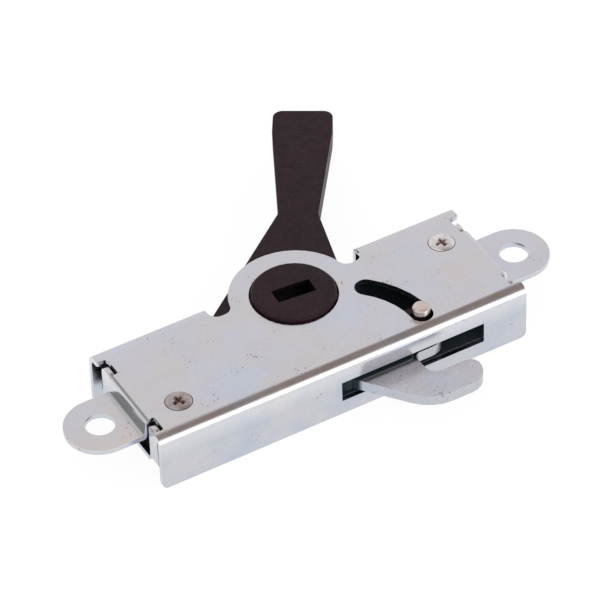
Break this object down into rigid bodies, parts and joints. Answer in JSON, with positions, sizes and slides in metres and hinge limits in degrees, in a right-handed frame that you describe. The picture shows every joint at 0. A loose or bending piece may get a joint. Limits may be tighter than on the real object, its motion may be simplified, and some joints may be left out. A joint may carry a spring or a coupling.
{
  "type": "sliding patio door lock",
  "caption": "Hook lock for a sliding patio door: a shallow folded steel case with a drilled ear at each end, a hook bolt out of its front edge and a black thumb lever.",
  "frame": {"origin": "centre of the lock's box, on the plane that the case's walls stand on", "axes": "+X along the case, from the ear left of the lever's hub to the other; +Y from the hook towards the thumb lever; +Z out through the cover"},
  "size_m": [0.1172, 0.0942, 0.0159],
  "materials": {
    "zinc_plate": "bright zinc plate with faint clouding",
    "black_casting": "semi-matte brown-black",
    "nickel": "warm nickel plate",
    "spring_steel": "drawn wire, lightly oiled"
  },
  "bodies": {
    "case": {"case_cover": "zinc_plate", "base_plate": "zinc_plate", "cover_screw_left": "nickel", "cover_screw_right": "nickel", "spacer_post_left": "zinc_plate", "spacer_post_right": "zinc_plate", "hook_pivot": "nickel", "over_centre_spring": "spring_steel"},
    "lever": {"thumb_lever": "black_casting"},
    "hook": {"hook_bolt": "zinc_plate", "drive_pin": "nickel"}
  },
  "joints": [
    {"name": "lever_turn", "type": "hinge", "parent": "case", "child": "lever", "pos_m": [0.00139, -0.00926, 0], "axis": [0, 0, 1], "range_deg": [0, 43], "deforming": ["over_centre_spring"]},
    {"name": "hook_turn", "type": "hinge", "parent": "case", "child": "hook", "pos_m": [0.0018, -0.02928, 0], "axis": [0, 0, 1], "range_deg": [0, 43]}
  ],
  "couplings": [
    {"joint": "hook_turn", "follows": "lever_turn", "ratio": 1}
  ]
}
